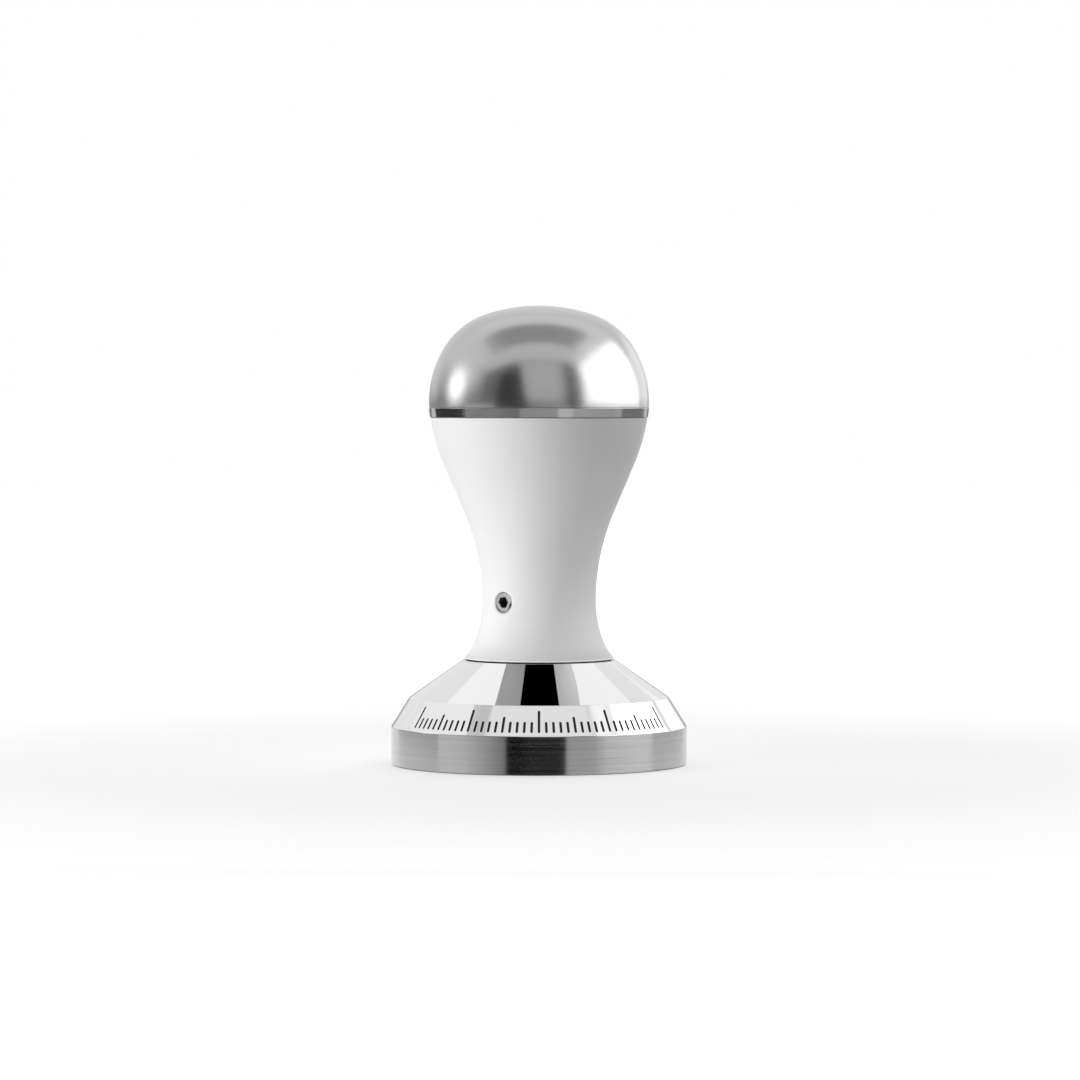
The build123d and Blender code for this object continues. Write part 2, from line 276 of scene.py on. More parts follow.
# ---- Node-tree helpers ----
class Shader:
    """A new material with its Principled shader, and short calls to add and link nodes."""

    def __init__(self, name):
        self.material = bpy.data.materials.new(name)
        self.material.use_nodes = True
        self.nodes = self.material.node_tree.nodes
        self.links = self.material.node_tree.links
        self.surface = self.nodes["Principled BSDF"]

    def add(self, kind, **settings):
        node = self.nodes.new(kind)
        for key, value in settings.items():
            setattr(node, key, value)
        return node

    def wire(self, source, target):
        self.links.new(source, target)

    def constant(self, **values):
        """Sets plain numbers and colours on the Principled shader's own sockets."""
        for name, value in values.items():
            self.surface.inputs[name.replace("_", " ")].default_value = value

    def math(self, operation, first, second=0.0):
        node = self.add("ShaderNodeMath", operation=operation)
        for socket, value in zip(node.inputs, (first, second)):
            if isinstance(value, bpy.types.NodeSocket):
                self.wire(value, socket)
            else:
                socket.default_value = value
        return node.outputs[0]

    def place(self):
        """Position on the object: the vector, then its x, y and z, in metres."""
        coordinate = self.add("ShaderNodeTexCoord")
        split = self.add("ShaderNodeSeparateXYZ")
        self.wire(coordinate.outputs["Object"], split.inputs[0])
        return coordinate.outputs["Object"], split.outputs

    def length(self, x, y):
        """Length of the level vector (x, y)."""
        return self.math("SQRT", self.math("ADD", self.math("MULTIPLY", x, x), self.math("MULTIPLY", y, y)))

    def noise(self, vector, scale, detail=2.0):
        node = self.add("ShaderNodeTexNoise")
        self.wire(vector, node.inputs["Vector"])
        node.inputs["Scale"].default_value = scale
        node.inputs["Detail"].default_value = detail
        return node.outputs["Fac"]

    def ramp(self, factor, low, high, low_value, high_value):
        node = self.add("ShaderNodeMapRange")
        self.wire(factor, node.inputs["Value"])
        limits = {"From Min": low, "From Max": high, "To Min": low_value, "To Max": high_value}
        for name, value in limits.items():
            node.inputs[name].default_value = value
        return node.outputs[0]

    def base_colour(self, factor, first, second):
        """Mixes the shader's base colour from these two, by this factor."""
        node = self.add("ShaderNodeMix", data_type="RGBA")
        self.wire(factor, node.inputs["Factor"])
        for name, colour in (("A", first), ("B", second)):
            socket = next(one for one in node.inputs if one.name == name and one.type == "RGBA")
            socket.default_value = colour
        mixed = next(one for one in node.outputs if one.type == "RGBA")
        self.wire(mixed, self.surface.inputs["Base Color"])

    def roughness(self, factor, low, high, low_value, high_value):
        self.wire(self.ramp(factor, low, high, low_value, high_value), self.surface.inputs["Roughness"])

    def bump(self, height, distance):
        node = self.add("ShaderNodeBump")
        node.inputs["Distance"].default_value = distance
        self.wire(height, node.inputs["Height"])
        self.wire(node.outputs[0], self.surface.inputs["Normal"])

    def grainy(self, scale, detail, smoothest, roughest, depth):
        """A fine even grain in the roughness and the relief, this many millimetres deep.  Returns it."""
        where, _ = self.place()
        grain = self.noise(where, scale, detail)
        self.roughness(grain, 0.3, 0.7, smoothest, roughest)
        self.bump(grain, depth * MM)
        return grain

    def turning_lines(self, length, width):
        """Noise in bands round the axis, about this wide, that change slowly over about this length."""
        _, (x, y, z) = self.place()
        across = self.math("SUBTRACT", z, self.length(x, y))
        stretched = self.add("ShaderNodeCombineXYZ")
        self.wire(self.math("MULTIPLY", x, 1 / length), stretched.inputs[0])
        self.wire(self.math("MULTIPLY", y, 1 / length), stretched.inputs[1])
        self.wire(self.math("MULTIPLY", across, 1 / width), stretched.inputs[2])
        return self.noise(stretched.outputs[0], 1.0, detail=3.0)


def grey(level, blue=0.0):
    return (level, level, level + blue, 1.0)


# ---- Materials ----
def polished_steel():
    s = Shader("polished_steel")
    s.constant(Metallic=1.0, Base_Color=grey(0.84))
    lines = s.turning_lines(30 * MM, 0.12 * MM)
    where, _ = s.place()
    handling = s.noise(where, 180, detail=4.0)
    mixed = s.math("ADD", s.math("MULTIPLY", lines, 0.6), s.math("MULTIPLY", handling, 0.4))
    s.roughness(mixed, 0.35, 0.65, 0.015, 0.045)
    s.bump(lines, 0.0002 * MM)
    return s.material


def brushed_steel(name, level, roughness, drawn_out=0.6):
    """Brushed round the axis, so that highlights spread up and down, across the lines."""
    s = Shader(name)
    s.constant(Metallic=1.0, Anisotropic=drawn_out, Anisotropic_Rotation=0.25)
    lines = s.turning_lines(20 * MM, 0.09 * MM)
    broad = s.turning_lines(60 * MM, 0.8 * MM)
    tone = s.math("MULTIPLY", lines, broad)
    s.base_colour(s.ramp(tone, 0.1, 0.4, 0, 1), grey(level * 0.86), grey(level))
    s.roughness(lines, 0.3, 0.7, roughness * 0.75, roughness * 1.3)
    tangent = s.add("ShaderNodeTangent", direction_type="RADIAL", axis="Z")
    s.wire(tangent.outputs[0], s.surface.inputs["Tangent"])
    s.bump(lines, 0.003 * MM)
    return s.material


def satin_aluminium():
    s = Shader("satin_aluminium")
    s.constant(Metallic=1.0, Base_Color=grey(0.50, 0.004))
    where, _ = s.place()
    smudge = s.noise(where, 90, detail=4.0)
    lines = s.turning_lines(12 * MM, 0.06 * MM)
    s.roughness(s.math("ADD", smudge, lines), 0.7, 1.3, 0.19, 0.26)
    s.bump(lines, 0.0008 * MM)
    return s.material


def white_coat():
    s = Shader("white_coat")
    s.grainy(900, 3.0, 0.36, 0.5, 0.008)
    where, _ = s.place()
    s.base_colour(s.noise(where, 60), grey(0.84, -0.004), grey(0.88, -0.002))
    return s.material


def lacquer_and_painted_shade(name, darkest, lightest):
    """A dark grainy film: the lacquer in the engraved marks, and the painted shade in the screw's socket, a
    near-black colour that stands in for the shade in that recess.
    """
    s = Shader(name)
    grain = s.grainy(3000, 3.0, 0.45, 0.7, 0.01)
    s.base_colour(grain, grey(darkest), grey(lightest))
    return s.material


def plain_plastic(name, colour, roughness):
    s = Shader(name)
    s.constant(Base_Color=colour)
    s.grainy(2500, 3.0, roughness - 0.08, roughness + 0.08, 0.01)
    return s.material


def brass():
    s = Shader("pad_brass")
    s.constant(Metallic=1.0, Base_Color=(0.80, 0.58, 0.27, 1))
    s.grainy(1500, 4.0, 0.25, 0.42, 0.003)
    return s.material


finishes = {
    "polished_steel": polished_steel(),
    "turned_steel": brushed_steel("turned_steel", 0.68, 0.22),
    "ring_steel": brushed_steel("ring_steel", 0.42, 0.07, drawn_out=0.2),
    "fastener_steel": brushed_steel("fastener_steel", 0.85, 0.16, drawn_out=0.0),
    "black_rubber": plain_plastic("black_rubber", grey(0.02), 0.7),
    "acetal": plain_plastic("acetal", (0.80, 0.79, 0.75, 1), 0.4),
    "white_coat": white_coat(),
    "satin_aluminium": satin_aluminium(),
    "pad_brass": brass(),
}
rim_finish = brushed_steel("rim_steel", 0.62, 0.13)
engraving_finish = lacquer_and_painted_shade("engraving_fill", 0.018, 0.045)
# The socket's near-black colour is painted shade for the deep hexagon recess.
painted_socket_shade = lacquer_and_painted_shade("socket_shade_paint", 0.03, 0.07)
for entry in frame["record"]["subparts"]:
    node = frame["nodes"][entry["node"]]
    node.data.materials[0] = finishes[entry["material_slot"]]


# ---- Base: turned, with the scale engraved in its bevel ----
rim_height = 7.5
bevel_top = Vector((25.65, 13.2))
land_radius = 15.1
collar_radius = 8.0
collar_height = 2.0
stub_radius = 5.0
stub_hole_floor = 6.2

scale_half_angle = math.radians(57)
scale_intervals = 40
long_tick_every = 10
middle_tick_every = 5
middle_tick_share = 0.72
short_tick_share = 0.5
scale_low_share = 0.12      # the scale's two ends, as shares of the slope from its lower edge
scale_high_share = 0.84
tick_width = 0.5
tick_depth = 0.25
tick_floor_share = 0.8      # the marks narrow to this share at their floor
tick_columns = 7            # lines of points across one mark, which also shape its round ends
tick_spacing = 2 * scale_half_angle / scale_intervals
plain_columns = 100         # lines of points round the unmarked back
halfway_bias = 0.25         # a column halfway between two marks belongs to the first of them
rim_slot = 1                # places of the other two materials in the base's list
mark_slot = 2

slope_start = Vector((base_radius, rim_height))
slope = bevel_top - slope_start
slope_length = slope.length
slope_way = slope.normalized()


def tick_length(tick):
    long_tick = (scale_high_share - scale_low_share) * slope_length
    if tick % long_tick_every == 0:
        return long_tick
    if tick % middle_tick_every == 0:
        return middle_tick_share * long_tick
    return short_tick_share * long_tick


def nearest_tick(azimuth):
    turn = (azimuth - front + math.pi) % (2 * math.pi) - math.pi
    tick = round((turn + scale_half_angle) / tick_spacing - halfway_bias)
    return min(max(tick, 0), scale_intervals)


def base_columns():
    """Every column of the base as (azimuth, sideways offset, tick or None), once round from the back."""
    columns = []
    gap_start = front + scale_half_angle
    gap = 2 * math.pi - 2 * scale_half_angle
    for step in range(1, plain_columns):
        columns.append((gap_start + gap * step / plain_columns, 0.0, None))
    for tick in range(scale_intervals + 1):
        azimuth = front - scale_half_angle + tick * tick_spacing
        for line in range(tick_columns):
            offset = -math.cos(math.pi * line / (tick_columns - 1)) * tick_width / 2
            columns.append((azimuth, offset, tick))
        if tick < scale_intervals:
            columns.append((azimuth + tick_spacing / 2, 0.0, None))
    return columns


def base_outline():
    """From the middle of the tamping face, up the rim, bevel and cone, then down the washer's recess."""
    recess_radius = washer_radius + fit_gap
    pocket_bottom = washer_bottom - collar_height
    outline = Outline(0, 0)
    outline.line(base_radius, 0, steps=3)
    outline.line(*slope_start, steps=2, rounding=edge)
    outline.line(*bevel_top, rounding=edge)
    outline.line(land_radius, base_top, steps=3, rounding=edge)
    outline.line(recess_radius, base_top, rounding=edge)
    outline.line(recess_radius, washer_bottom)
    outline.line(collar_radius + fit_gap, washer_bottom, steps=2)
    outline.line(collar_radius + fit_gap, pocket_bottom)
    outline.line(stub_radius + fit_gap, pocket_bottom)
    outline.line(stub_radius + fit_gap, stub_hole_floor, steps=3)
    outline.line(0, stub_hole_floor)
    return outline


def mark_ends(column):
    """Where this column crosses the lower and upper ends of its mark, or of the mark nearest to it."""
    azimuth, offset, tick = column
    if tick is None:
        tick = nearest_tick(azimuth)
        offset = tick_width / 2
    half_round = math.sqrt(max((tick_width / 2) ** 2 - offset**2, 0.0))
    low = scale_low_share * slope_length + tick_width / 2 - half_round
    high = scale_low_share * slope_length + tick_length(tick) - tick_width / 2 + half_round
    return slope_start + slope_way * low, slope_start + slope_way * high


def cut_mark(piece, tick, azimuth, loop):
    """Walls and floor of one mark, inside this loop of points on the bevel."""
    outward = turned_normal(slope_way, azimuth)
    sideways = Vector((-math.sin(azimuth), math.cos(azimuth), 0))
    upslope = outward.cross(sideways) * -1
    centre = sum((piece.points[corner] for corner in loop), Vector()) / len(loop)
    ridge = (tick_length(tick) - tick_width) / 2 * MM
    floor_loop = []
    wall_normals = []
    for corner in loop:
        arm = piece.points[corner] - centre
        along = min(max(arm.dot(upslope), -ridge), ridge)
        spine = centre + upslope * along
        reach = piece.points[corner] - spine
        reach -= outward * reach.dot(outward)
        lowered = spine + reach * tick_floor_share - outward * tick_depth * MM
        floor_loop.append(piece.point(lowered / MM))
        wall_normals.append(-reach.normalized() + outward * (1 - tick_floor_share))
    for corners, normals in zip(quads(loop, floor_loop), quads(wall_normals, wall_normals)):
        piece.face(corners, normals, mark_slot)
    near_end = floor_loop[:tick_columns]
    far_end = list(reversed(floor_loop[tick_columns:]))
    for index in range(tick_columns - 1):
        corners = [near_end[index], near_end[index + 1], far_end[index + 1], far_end[index]]
        piece.face(corners, [outward] * 4, mark_slot)


def build_base():
    piece = Piece()
    columns = base_columns()
    samples = base_outline().samples()

    def azimuth_at(column, radius):
        """Offsets keep their width in millimetres on the bevel, and their angle inside it."""
        azimuth, offset, _ = columns[column]
        return azimuth + offset / max(radius, bevel_top.x)

    rows = point_rows(piece, samples, azimuth_at, len(columns))

    bevel_row = next(
        row for row in range(len(samples) - 1)
        if (samples[row][1] - slope_way).length < close_enough
        and (samples[row + 1][0] - samples[row][0]).length > slope_length / 2
    )
    rim_rows = [
        row for row in range(len(samples) - 1)
        if samples[row][0].x > base_radius - edge and samples[row + 1][0].y < rim_height + edge
    ]
    for row in range(len(samples) - 1):
        if rows[row] is not rows[row + 1] and row != bevel_row:
            finish = rim_slot if row in rim_rows else 0
            face_row(piece, rows, samples, row, azimuth_at, range(len(columns)), finish)

    # The bevel, with a pair of extra rows that follow the lower and upper ends of every mark.
    low_row = []
    high_row = []
    for column, described in enumerate(columns):
        low, high = mark_ends(described)
        low_row.append(piece.point(on_turning(low, azimuth_at(column, low.x))))
        high_row.append(piece.point(on_turning(high, azimuth_at(column, high.x))))
    in_mark = [here[2] is not None and here[2] == after[2] for here, after, _, _ in quads(columns, columns)]
    bands = ((rows[bevel_row], low_row), (low_row, high_row), (high_row, rows[bevel_row + 1]))
    for lower, upper in bands:
        for corners, open_here in zip(quads(lower, upper), in_mark):
            if open_here and lower is low_row:
                continue
            places = [piece.points[corner] for corner in corners]
            piece.face(corners, [turned_normal(slope_way, math.atan2(at.y, at.x)) for at in places])

    for tick in range(scale_intervals + 1):
        mine = [column for column in range(len(columns)) if columns[column][2] == tick]
        loop = [low_row[column] for column in mine] + [high_row[column] for column in reversed(mine)]
        cut_mark(piece, tick, columns[mine[0]][0], loop)
    materials = [finishes["polished_steel"], rim_finish, engraving_finish]
    piece.make("engraved_base", "base", "tamper_base", materials)


build_base()


# ---- Handle: waisted, with a soft mouth round the set screw ----
waist_radius = 11.275
upper_hollow = 44.8
upper_hollow_turn = math.radians(22.7)
flank_length = 10.6
shoulder_curve = 39.9
lower_hollow = 22.1
lower_hollow_turn = math.radians(21.4)
foot_flare = 9.5
spigot_radius = 15.0
web_top = 66.0
cap_hole_radius = 3.3
post_bore_radius = 6.25
screw_radius = 2.0
mouth_roll = 0.55
upper_hollow_steps = 36
lower_hollow_steps = 17
handle_columns = 144
handle_bore = bush_radius + fit_gap
patch_cells = 12            # the pierced patch reaches this many cells each way from the screw
patch_half_height = 5.0     # half its height in the bore; outside, its height follows from the rows
pierced_rings = 14          # rings of faces from the patch's edge to the hole
ring_crowding = 1.5         # above 1, the rings crowd towards the hole
mouth_rows = 8
slope_step = 0.01           # steps for slopes and normals that are found by difference
nudge = 0.005


def handle_radius(height):
    """Outer radius of the handle near its waist."""
    hollow = upper_hollow if height > screw_height else lower_hollow
    return waist_radius + hollow - math.sqrt(hollow**2 - (height - screw_height) ** 2)


def handle_outline():
    """Outer face from the foot up, over the top, then down the stepped bore."""
    low_centre = Vector((waist_radius + lower_hollow, screw_height))
    high_centre = Vector((waist_radius + upper_hollow, screw_height))
    low_end = low_centre - lower_hollow * toward(lower_hollow_turn)
    flare_way = (low_centre - low_end).normalized()
    flare_centre = low_end + flare_way * foot_flare
    foot_angle = math.asin((foot_height - flare_centre.y) / foot_flare)
    foot = flare_centre + foot_flare * toward(math.pi - foot_angle)

    high_end = high_centre + upper_hollow * toward(math.pi - upper_hollow_turn)
    flank_way = toward(math.pi / 2 - upper_hollow_turn)
    flank_end = high_end + flank_way * flank_length
    shoulder_centre = flank_end + shoulder_curve * Vector((-flank_way.y, flank_way.x))
    top_angle = math.asin((handle_top - shoulder_centre.y) / shoulder_curve)

    outline = Outline(handle_bore, foot_height)
    outline.line(foot.x, foot_height, steps=3)
    outline.arc(flare_centre, -math.pi + lower_hollow_turn, steps=12, rounding=edge)
    outline.arc(low_centre, -math.pi, steps=lower_hollow_steps)
    outline.arc(high_centre, math.pi - upper_hollow_turn, steps=upper_hollow_steps)
    outline.line(*flank_end, steps=8)
    outline.arc(shoulder_centre, top_angle, steps=24)
    outline.line(spigot_radius + slide_gap, handle_top, steps=2, rounding=edge)
    outline.line(spigot_radius + slide_gap, web_top)
    outline.line(cap_hole_radius, web_top)
    outline.line(cap_hole_radius, web_bottom)
    outline.line(post_bore_radius, web_bottom)
    outline.line(post_bore_radius, upper_bush_top)
    outline.line(handle_bore, upper_bush_top)
    outline.line(handle_bore, screw_height + patch_half_height)
    outline.line(handle_bore, screw_height - patch_half_height, steps=2 * patch_cells)
    outline.line(handle_bore, foot_height)
    return outline


def build_handle():
    piece = Piece()
    azimuths = evenly(handle_columns, screw_azimuth)
    samples = handle_outline().samples()
    waist_row = min(
        range(len(samples)),
        key=lambda row: (samples[row][0] - Vector((waist_radius, screw_height))).length,
    )
    while (samples[waist_row + 1][0] - samples[waist_row][0]).length < same_place:
        waist_row += 1
    bore_row = next(
        row for row in range(len(samples) - 1)
        if abs(samples[row][0].x - handle_bore) < close_enough
        and abs(samples[row][0].y - screw_height - patch_half_height) < close_enough
        and samples[row + 1][0].y < samples[row][0].y
    )

    # The lower and upper hollows meet at the waist in a doubled sample, so there is one more outer row.
    outer_rows = list(range(waist_row - patch_cells - 1, waist_row + patch_cells))
    inner_rows = list(range(bore_row, bore_row + 2 * patch_cells))

    def in_patch(row, column):
        near = column < patch_cells or column >= handle_columns - patch_cells
        return near and (row in outer_rows or row in inner_rows)

    rows = turn_round(piece, samples, azimuths, skip=in_patch)
    outer = pierce(piece, samples, rows, outer_rows, handle_radius, screw_radius + slide_gap + mouth_roll, 1)
    inner = pierce(piece, samples, rows, inner_rows, lambda height: handle_bore, screw_radius + slide_gap, -1)
    mouth = roll_mouth(piece, outer)
    close_tube(piece, mouth, inner)
    piece.make("handle_shell", "handle", "handle_body", [finishes["white_coat"]])


def local_point(lateral, height, depth):
    """A point given across, up and along the set screw's axis."""
    sideways = Vector((-math.sin(screw_azimuth), math.cos(screw_azimuth), 0))
    outward = Vector((math.cos(screw_azimuth), math.sin(screw_azimuth), 0))
    return outward * depth + sideways * lateral + Vector((0, 0, height))


def wall_point(radius_at, turn, height):
    radius = radius_at(height)
    return local_point(radius * math.sin(turn), height, radius * math.cos(turn))


def wall_normal(radius_at, turn, height, facing):
    """Normal of the turned wall, outward for facing 1 and inward for -1."""
    slope_here = (radius_at(height + slope_step) - radius_at(height - slope_step)) / (2 * slope_step)
    normal = local_point(math.sin(turn), -slope_here, math.cos(turn))
    return normal * facing


def pierce(piece, samples, rows, patch_rows, radius_at, hole_radius, facing):
    """Fills the patch with rings that pass from its square edge to the round hole.

    Returns (angle, point number) round the hole, with angles counted from the sideways direction.
    """
    cell = 2 * math.pi / handle_columns
    levels = []
    for row in patch_rows + [patch_rows[-1] + 1]:
        if not levels or rows[row] is not rows[levels[-1]]:
            levels.append(row)
    if samples[levels[0]][0].y > samples[levels[-1]][0].y:
        levels.reverse()

    def corner(column, level):
        row = levels[level]
        return rows[row][column % handle_columns], column * cell, samples[row][0].y

    last = len(levels) - 1
    border = [corner(column, 0) for column in range(-patch_cells, patch_cells)]
    border += [corner(patch_cells, level) for level in range(last)]
    border += [corner(column, last) for column in range(patch_cells, -patch_cells, -1)]
    border += [corner(-patch_cells, level) for level in range(last, 0, -1)]

    previous = border
    angles = []
    for _, turn, height in border:
        angles.append(math.atan2(height - screw_height, radius_at(screw_height) * turn))
    for ring in range(1, pierced_rings + 1):
        share = 1 - (1 - ring / pierced_rings) ** ring_crowding
        current = []
        for (_, turn, height), angle in zip(border, angles):
            hole_height = screw_height + hole_radius * math.sin(angle)
            hole_turn = math.asin(hole_radius * math.cos(angle) / radius_at(hole_height))
            turn_here = turn + (hole_turn - turn) * share
            height_here = height + (hole_height - height) * share
            number = piece.point(wall_point(radius_at, turn_here, height_here))
            current.append((number, turn_here, height_here))
        for corners in quads(previous, current):
            corners = corners[::facing]
            piece.face(
                [number for number, _, _ in corners],
                [wall_normal(radius_at, turn, height, facing) for _, turn, height in corners],
            )
        previous = current
    return [(angle, number) for angle, (number, _, _) in zip(angles, previous)]


def roll_mouth(piece, loop):
    """Rolls the coat over into the hole, in a curve that leaves the surface and meets the wall smoothly."""
    wall = screw_radius + slide_gap
    outer = wall + mouth_roll

    def surface_depth(reach, angle):
        height = screw_height + reach * math.sin(angle)
        return math.sqrt(handle_radius(height) ** 2 - (reach * math.cos(angle)) ** 2)

    def rolled(angle, share):
        start_depth = surface_depth(outer, angle)
        rise = surface_depth(outer + slope_step, angle) - surface_depth(outer - slope_step, angle)
        slope_here = rise / (2 * slope_step)
        bend_depth = start_depth - slope_here * mouth_roll
        reach = outer * (1 - share) ** 2 + wall * (1 - (1 - share) ** 2)
        depth = start_depth * (1 - share) ** 2 + 2 * bend_depth * share * (1 - share)
        depth += (bend_depth - mouth_roll) * share**2
        return local_point(reach * math.cos(angle), screw_height + reach * math.sin(angle), depth)

    def normal(angle, share):
        inward = rolled(angle, min(share + nudge, 1.0)) - rolled(angle, max(share - nudge, 0.0))
        around_hole = rolled(angle + nudge, share) - rolled(angle - nudge, share)
        return around_hole.cross(inward)

    previous = [(number, angle, 0.0) for angle, number in loop]
    for step in range(1, mouth_rows + 1):
        share = step / mouth_rows
        current = [(piece.point(rolled(angle, share)), angle, share) for angle, _ in loop]
        for corners in quads(previous, current):
            piece.face([corner[0] for corner in corners], [normal(angle, at) for _, angle, at in corners])
        previous = current
    return [(angle, number) for number, angle, _ in previous]


def close_tube(piece, outer, inner):
    """Straight wall of the set screw's hole, between the mouth and the bore."""
    for corners in quads(outer, inner):
        (angle, _), (next_angle, _), _, _ = corners
        here = local_point(*toward(angle), 0) * -1
        there = local_point(*toward(next_angle), 0) * -1
        piece.face([number for _, number in corners], [here, there, there, here])


build_handle()


# ---- Trim ring and dome ----
ring_flare = 0.25
crown_radius = 33.2
crown_turn = math.radians(18.5)
dome_shoulder = 15.2
dome_shoulder_turn = math.radians(39.5)
dome_side = 20.5
cap_thread_radius = 3.0
cap_thread_depth = 12.8
spigot_chamfer = 0.5
dome_columns = 160


def build_ring():
    bore = spigot_radius + slide_gap
    outline = Outline(bore, handle_top)
    outline.line(ring_radius - ring_flare, handle_top)
    outline.line(ring_radius, ring_top, steps=3, rounding=fine_edge)
    outline.line(bore, ring_top, rounding=fine_edge)
    outline.line(bore, handle_top)
    piece = Piece()
    turn_round(piece, outline.samples(), evenly(dome_columns))
    piece.make("ring_band", "handle", "trim_ring", [finishes["ring_steel"]])


def build_dome():
    """From the end of the blind screw hole, down to the spigot, and up the side to the crown."""
    up = math.pi / 2
    crown_centre = Vector((0, dome_top - crown_radius))
    crown_angle = up - crown_turn
    crown_end = crown_centre + crown_radius * toward(crown_angle)
    shoulder_centre = crown_centre + (crown_end - crown_centre) * (1 - dome_shoulder / crown_radius)
    side_angle = crown_angle - dome_shoulder_turn
    side_start = shoulder_centre + dome_shoulder * toward(side_angle)
    side_centre = side_start + (shoulder_centre - side_start) * (dome_side / dome_shoulder)
    foot_angle = math.asin((ring_top - side_centre.y) / dome_side)
    foot_radius = side_centre.x + dome_side * math.cos(foot_angle)

    hole = cap_thread_radius + fit_gap
    outline = Outline(0, spigot_bottom + cap_thread_depth)
    outline.line(hole, spigot_bottom + cap_thread_depth)
    outline.line(hole, spigot_bottom)
    outline.line(spigot_radius - spigot_chamfer, spigot_bottom)
    outline.line(spigot_radius, spigot_bottom + spigot_chamfer)
    outline.line(spigot_radius, ring_top)
    outline.line(foot_radius, ring_top)
    outline.arc(side_centre, side_angle, steps=26, rounding=fine_edge)
    outline.arc(shoulder_centre, crown_angle, steps=20)
    outline.arc(crown_centre, up, steps=14)
    piece = Piece()
    turn_round(piece, outline.samples(), evenly(dome_columns))
    piece.make("dome_shell", "handle", "dome_cap", [finishes["satin_aluminium"]])


build_ring()
build_dome()


# ---- Set screw: real thread, chamfered ends and a hexagon socket ----
screw_length = 4.0
screw_pitch = 0.7
thread_depth = 0.38
crest_share = 0.12          # flat crest and sloping flank, as shares of half the pitch
flank_share = 0.72
thread_columns = 72
thread_rows = 110
thread_nudge = 0.012        # step for the thread's normals
screw_chamfer = 0.28
socket_across_flats = 2.0
socket_depth = 2.0
socket_lead_in = 0.12
socket_turn = math.radians(5)
drill_tip = 0.3             # depth of the drill's cone below the socket's floor
nose_radius = 0.8
nose_length = 0.6


def build_set_screw():
    piece = Piece()
    inner_end = screw_face_radius - screw_length

    def thread_radius(angle, along):
        phase = (along / screw_pitch - angle / (2 * math.pi)) % 1.0
        ridge = abs(phase - 0.5) * 2
        profile = min(max((ridge - crest_share) / flank_share, 0.0), 1.0)
        from_end = min(along, screw_length - along)
        chamfered = screw_radius - screw_chamfer + from_end
        return min(screw_radius - thread_depth * profile, chamfered)

    def place(angle, along, radius):
        return local_point(
            radius * math.cos(angle), screw_height + radius * math.sin(angle), inner_end + along
        )

    def thread_point(angle, along):
        return place(angle, along, thread_radius(angle, along))

    def thread_normal(angle, along):
        low = max(along - thread_nudge, 0.0)
        high = min(along + thread_nudge, screw_length)
        lengthwise = thread_point(angle, high) - thread_point(angle, low)
        round_about = thread_point(angle + thread_nudge, along) - thread_point(angle - thread_nudge, along)
        return round_about.cross(lengthwise)

    angles = evenly(thread_columns)
    rows = []
    for step in range(thread_rows + 1):
        along = screw_length * step / thread_rows
        rows.append([(piece.point(thread_point(angle, along)), angle, along) for angle in angles])
    for lower, upper in zip(rows, rows[1:]):
        for corners in quads(lower, upper):
            piece.face([corner[0] for corner in corners], [thread_normal(a, t) for _, a, t in corners])

    def hexagon(angle, across_flats):
        sector = math.pi / 3
        from_flat = (angle - socket_turn) % sector - sector / 2
        return across_flats / 2 / math.cos(from_flat)

    def ring(along, radius_at):
        return [piece.point(place(angle, along, radius_at(angle))) for angle in angles]

    def bridge(lower, upper, finish=0):
        for corners in quads(lower, upper):
            piece.flat_face(corners, finish)

    rim = [number for number, _, _ in rows[-1]]
    lead = ring(screw_length, lambda angle: hexagon(angle, socket_across_flats + 2 * socket_lead_in))
    mouth = ring(screw_length - socket_lead_in, lambda angle: hexagon(angle, socket_across_flats))
    floor_ring = ring(screw_length - socket_depth, lambda angle: hexagon(angle, socket_across_flats))
    drilled = ring(screw_length - socket_depth, lambda angle: socket_across_flats / 2 - socket_lead_in)
    bridge(rim, lead)
    bridge(lead, mouth)
    # Finish 1 colours the socket's walls, floor and drill point near black: painted shade for the recess.
    bridge(mouth, floor_ring, 1)
    bridge(floor_ring, drilled, 1)
    tip = piece.point(place(0, screw_length - socket_depth - drill_tip, 0))
    for here, there, _, _ in quads(drilled, drilled):
        piece.flat_face([here, there, tip], 1)

    # The inner end: a flat shoulder, then the nose that carries the brass pad.
    back = [number for number, _, _ in rows[0]]
    nose_root = ring(0, lambda angle: nose_radius)
    nose_edge = ring(fine_edge - nose_length, lambda angle: nose_radius)
    nose_end = ring(-nose_length, lambda angle: nose_radius - fine_edge)
    bridge(nose_root, back)
    bridge(nose_edge, nose_root)
    bridge(nose_end, nose_edge)
    nose_tip = piece.point(place(0, -nose_length, 0))
    for here, there, _, _ in quads(nose_end, nose_end):
        piece.flat_face([there, here, nose_tip])
    materials = [finishes["fastener_steel"], painted_socket_shade]
    piece.make("set_screw", "lock_screw", "lock_screw", materials)


build_set_screw()


# ---- Studio ----
def rectangle(width, height):
    x, y = width / 2, height / 2
    return ((-x, -y, 0), (x, -y, 0), (x, y, 0), (-x, y, 0))


def sheet(name, corners, material):
    """A flat four-cornered object, for cards and the floor."""
    mesh = bpy.data.meshes.new(name)
    build = bmesh.new()
    build.faces.new([build.verts.new(corner) for corner in corners])
    build.to_mesh(mesh)
    build.free()
    mesh.materials.append(material)
    thing = bpy.data.objects.new(name, mesh)
    scene.collection.objects.link(thing)
    return thing


